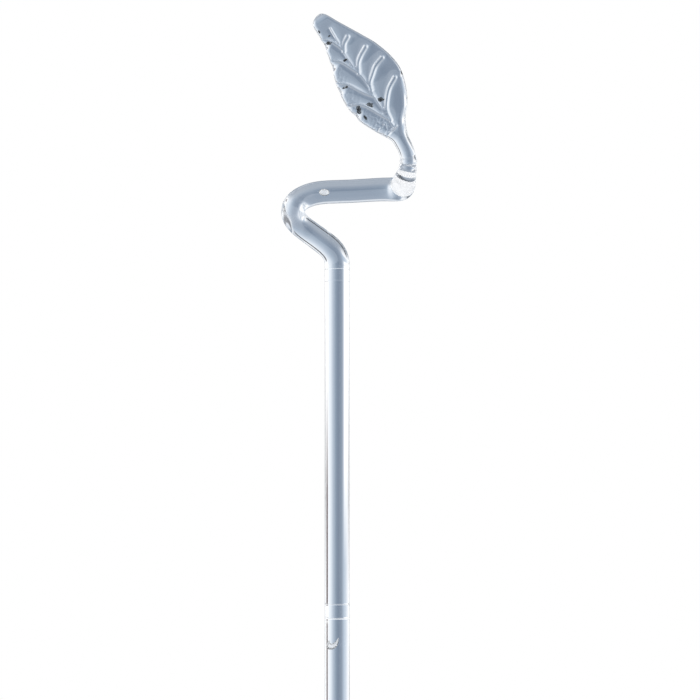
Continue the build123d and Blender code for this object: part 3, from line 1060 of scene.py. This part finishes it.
def build_wad():
    """Lumpy wad of fibre with loose strands on it."""
    low, high = foot_of("packing_wad"), top_of("packing_wad")
    edge, inner = WAD_ROUND, SPACER_R - WAD_ROUND
    angles = round_turns(96)
    profile = [(0.02, low)] + straight((0.4, low), (inner, low), 0.3)
    profile += arc((inner, low + edge), (edge, edge), -90, 0, 6)
    profile += straight((SPACER_R, low + edge), (SPACER_R, high - edge), 0.2)[1:]
    profile += arc((inner, high - edge), (edge, edge), 0, 90, 6)
    profile += straight((inner, high), (0.4, high), 0.3)[1:] + [(0.02, high)]
    middle = (low + high) / 2
    rings = []
    for r, z in profile:
        share = r / SPACER_R
        lump = np.sin(5 * angles + 3 * z) + np.sin(9 * angles - 5 * z + r) + np.cos(14 * angles + 7 * r)
        ring_r = 0.94 * r + 0.06 * lump * share - 0.06
        ring_z = z - copysign(0.12, z - middle) + 0.05 * np.sin(7 * angles + 4 * r) * share
        rings.append(np.stack([ring_r * np.cos(angles), ring_r * np.sin(angles), ring_z], axis=1))
    finish_piece(rings_piece("wad_body", rings, [FIBRE]), "wad_fibre", "packing_wad")
    build_strands(low, high)


def build_strands(low, high):
    """Loose fibres lying round the wad's side."""
    pick = random.Random(7)
    strands = []
    for _ in range(STRANDS):
        turn, swing = pick.uniform(0, 2 * pi), pick.uniform(0.3, 1.1)
        z, rise = pick.uniform(low + 0.25, high - 0.25), pick.uniform(-0.8, 0.8)
        reach = pick.uniform(2.42, 2.58)
        line = []
        for t in np.linspace(0, 1, 9):
            angle = turn + swing * t
            height = min(max(z + rise * t + 0.12 * sin(7 * t + turn), low + 0.06), high - 0.06)
            line.append((reach * cos(angle), reach * sin(angle), height))
        strands.append((swept_rings(np.array(line), [STRAND_R] * len(line), 6), None))
    finish_piece(joined_piece("wad_strands", strands, FIBRE), "wad_fibre")


def ball(centre, radius, around=40, rows=20):
    """Rings and poles of a ball."""
    x, y, z = np.eye(3)
    rings = [ring_round(centre + radius * sin(lift) * z, x, y, radius * cos(lift), around)
             for lift in lifts(rows)]
    return rings, (centre - radius * z, centre + radius * z)


def build_shot():
    """Steel balls in triangles, each layer turned to nest in the one below."""
    balls = []
    for layer in range(4):
        height = SHOT_FIRST_Z + layer * SHOT_PITCH
        for place in range(3):
            angle = radians((place + layer / 2) * 120)
            centre = (SHOT_CIRCLE_R * cos(angle), SHOT_CIRCLE_R * sin(angle), height)
            balls.append(ball(np.array(centre), SHOT_R))
    finish_piece(joined_piece("steel_shot", balls, STEEL), "shot_steel", "ballast_shot")


build_envelope()
build_plug()
build_handle()
build_tendril()
build_elbow()
build_leaf()
build_flecks()
build_capillary()
build_bulb()
build_bulb_spirit()
build_thread()
build_card()
build_marks()
build_numbers()
build_ties()
build_spacer("top_spacer")
build_spacer("bulb_collar")
build_wad()
build_shot()


# --- Studio ---

# Camera and floor, in metres
VIEW_CENTRE = Vector((3.61, 0, 204.8)) * MM
VIEW_WIDTH = 197.6 * MM
VIEW_DISTANCE = 1.2
FLOOR_REACH = 0.5
FLOOR_DROP = 0.0001
FLOOR_FADE = (0.12, 0.42)

# Surround seen through the glass: (degrees to the right of the camera's axis, colour)
WHITE = (1.25, 1.25, 1.25)
DARK = (0.04, 0.042, 0.045)
SURROUND = [
    (-108, (0.9, 0.9, 0.9)), (-100, DARK), (-86, DARK),
    (-78, WHITE), (-25, WHITE), (-20.5, (0.60, 0.66, 0.75)),
    (-16.5, (0.33, 0.39, 0.48)), (-12, (0.25, 0.31, 0.40)), (-6, (0.225, 0.28, 0.365)),
    (0, (0.25, 0.31, 0.40)), (7, (0.35, 0.43, 0.53)), (13, (0.52, 0.59, 0.69)),
    (20, (0.78, 0.85, 0.93)), (30, (1.0, 1.03, 1.07)), (38, WHITE),
    (78, WHITE), (86, DARK), (100, DARK),
    (108, (0.9, 0.9, 0.9)),
]
LOWER_LEFT = [
    (-60, WHITE), (-40, (0.83, 0.87, 0.93)), (-33, (0.74, 0.81, 0.90)),
    (-23, (0.49, 0.58, 0.69)), (-15.5, (0.32, 0.40, 0.52)), (-12, WHITE),
]
SURROUND_REACH = 120
HAZE_TONE = (0.62, 0.70, 0.80, 1)
FLOOR_TONE = (0.38, 0.43, 0.50, 1)
CEILING_TONE = (0.80, 0.84, 0.90, 1)
ROOM_TONE = (1.3, 1.3, 1.3, 1)
POST_TONE = (0.06, 0.02, 0.026, 1)
FLAG_TONE = (0.04, 0.04, 0.05, 1)
STREAK_TONE = (0.40, 0.47, 0.56, 1)
LENS_TONE = (0.005, 0.005, 0.005, 1)

# Dark patches of the surround. Each has four degrees across it and four up it, at which it starts,
# is full, begins to fade and has ended, and then its cover and its tone
PATCHES = [
    ((35.5, 36.5, 49, 50), (-3.46, -3.40, -2.0, -0.2), 1.0, POST_TONE),
    ((35.5, 36.5, 49, 50), (-9, -7, -3.70, -3.62), 0.85, POST_TONE),
    ((58, 63, 84, 90), (-3.3, -2.0, -1.6, 0.9), 1.0, FLAG_TONE),
    ((-76, -70, -48, -45), (-3.3, -2.0, -1.6, 0.9), 0.4, FLAG_TONE),
    ((-98, -92, -68, -64), (-9, -7, -4.4, -3.7), 0.8, FLAG_TONE),
]


def between(nodes, value, low, high):
    """0 where value is at low and 1 where it is at high, in either order."""
    return nodes.math("DIVIDE", nodes.math("SUBTRACT", value, low), high - low, clamp=True)


def surround_stops(table):
    """A table of (degrees, colour) as stops of a ramp from one side of the surround to the other."""
    return [((angle / SURROUND_REACH + 1) / 2, colour) for angle, colour in table]


def band(nodes, value, start, full, fading, end):
    """1 where value lies from full to fading, and 0 before start and after end."""
    return nodes.product(between(nodes, value, start, full), between(nodes, value, end, fading))


def backdrop(nodes, turn, lift):
    """Tones round the glass, darker low on the left, with the dark patches and the streaks."""
    place = nodes.math("MULTIPLY_ADD", turn, 0.5 / SURROUND_REACH, 0.5)
    level, low = [nodes.ramp(place, surround_stops(table)) for table in (SURROUND, LOWER_LEFT)]
    tone = nodes.mix(band(nodes, lift, -9, -6, -2.9, -1.4), level, low)
    tone.node.blend_type = "DARKEN"
    for across, upwards, cover, patch_tone in PATCHES:
        patch = nodes.product(band(nodes, turn, *across), band(nodes, lift, *upwards), cover)
        tone = nodes.mix(patch, tone, patch_tone)
    wave = nodes.math("SINE", nodes.math("MULTIPLY_ADD", turn, 0.55, nodes.product(lift, 0.5)))
    inside = nodes.product(band(nodes, turn, -54, -48, -24, -19), band(nodes, lift, 2.5, 6, 19, 24))
    return nodes.mix(nodes.product(inside, nodes.math("MULTIPLY_ADD", wave, 0.3, 0.6)), tone, STREAK_TONE)


def build_world():
    """White to the camera; to the glass, a soft grey backdrop between two white softboxes."""
    world = bpy.data.worlds.new("studio")
    bpy.context.scene.world = world
    world.use_nodes = True
    nodes = Nodes(world.node_tree)
    direction = nodes.add("ShaderNodeTexCoord").outputs["Camera"]
    x, y, z = nodes.add("ShaderNodeSeparateXYZ", Vector=direction).outputs
    turn = nodes.math("DEGREES", nodes.math("ARCTAN2", x, z))
    lift = nodes.math("DEGREES", nodes.math("ARCSINE", y))
    corner = between(nodes, nodes.product(x, y), 0.10, 0.16)
    slanted = between(nodes, nodes.math("ABSOLUTE", lift), 18, 26)
    tone = backdrop(nodes, turn, lift)
    for cover, layer_tone in (
        (nodes.product(between(nodes, lift, 0.9, 1.6), 0.2), HAZE_TONE),
        (between(nodes, lift, -7, -20), FLOOR_TONE),
        (between(nodes, lift, 40, 48), CEILING_TONE),
        (nodes.product(band(nodes, z, 0.65, 0.69, 0.76, 0.79), corner), FLAG_TONE),
        (nodes.product(band(nodes, z, 0.22, 0.28, 0.36, 0.42), slanted, 0.75), FLAG_TONE),
        (between(nodes, z, -0.93, -0.97), LENS_TONE),
    ):
        tone = nodes.mix(cover, tone, layer_tone)
    path = nodes.add("ShaderNodeLightPath").outputs
    sharp = nodes.math("MAXIMUM", path["Is Glossy Ray"], path["Is Transmission Ray"])
    colour = nodes.mix(sharp, ROOM_TONE, tone)
    colour = nodes.mix(path["Is Camera Ray"], colour, (1, 1, 1, 1))
    background = nodes.add("ShaderNodeBackground", Color=colour)
    nodes.add("ShaderNodeOutputWorld", Surface=background.outputs[0])


def build_floor():
    """Pale floor disc that fades into the white of the studio before its edge."""
    mesh = bpy.data.meshes.new("floor")
    ring = [(FLOOR_REACH * cos(a), FLOOR_REACH * sin(a), -FLOOR_DROP) for a in round_turns(96)]
    mesh.from_pydata(ring, [], [tuple(range(len(ring)))])
    material, nodes = new_material("floor")
    place = nodes.add("ShaderNodeTexCoord").outputs["Object"]
    distance = nodes.add("ShaderNodeVectorMath", {"operation": "LENGTH"}, _0=place).outputs["Value"]
    matt = nodes.add("ShaderNodeBsdfDiffuse", Color=(0.62, 0.62, 0.62, 1)).outputs[0]
    glow = nodes.add("ShaderNodeEmission", Color=(1, 1, 1, 1)).outputs[0]
    fade = between(nodes, distance, *FLOOR_FADE)
    shader = nodes.add("ShaderNodeMixShader", _0=fade, _1=matt, _2=glow).outputs[0]
    nodes.add("ShaderNodeOutputMaterial", Surface=shader)
    mesh.materials.append(material)
    floor = link("floor", mesh)
    floor.visible_transmission = False
    floor.visible_glossy = False


def soft_light(name, place, size, energy):
    """Large soft light aimed at the stem, kept out of the glass's reflections."""
    data = bpy.data.lights.new(name, "AREA")
    data.shape = "RECTANGLE"
    data.size, data.size_y = size
    data.energy = energy
    light = link(name, data)
    light.location = place
    light.rotation_euler = (Vector((0, 0, 0.12)) - light.location).to_track_quat("-Z", "Y").to_euler()
    light.visible_camera = False
    light.visible_transmission = False
    light.visible_glossy = False


def build_lights():
    """Overhead softbox to the left, and fills in front and behind for what the glass holds."""
    soft_light("softbox", (-0.5, -0.5, 1.0), (0.8, 0.6), 6)
    soft_light("front_fill", (0.3, -1.1, 0.35), (0.8, 0.8), 9)
    soft_light("back_fill", (-0.3, 1.1, 0.35), (0.8, 0.8), 6)


def build_camera():
    """Level camera in front of the scale side, framed on the handle and the upper stem."""
    data = bpy.data.cameras.new("camera")
    data.sensor_width = 36
    data.lens = data.sensor_width * VIEW_DISTANCE / VIEW_WIDTH
    camera = link("camera", data)
    camera.location = VIEW_CENTRE + Vector((0, -VIEW_DISTANCE, 0))
    camera.rotation_euler = (radians(90), 0, 0)
    bpy.context.scene.camera = camera


build_world()
build_floor()
build_lights()
build_camera()
scene = bpy.context.scene
scene.view_settings.view_transform = "Standard"
scene.cycles.transmission_bounces = 48
scene.cycles.max_bounces = 48
scene.cycles.glossy_bounces = 32
scene.cycles.transparent_max_bounces = 32
scene.cycles.caustics_refractive = False
scene.cycles.caustics_reflective = False
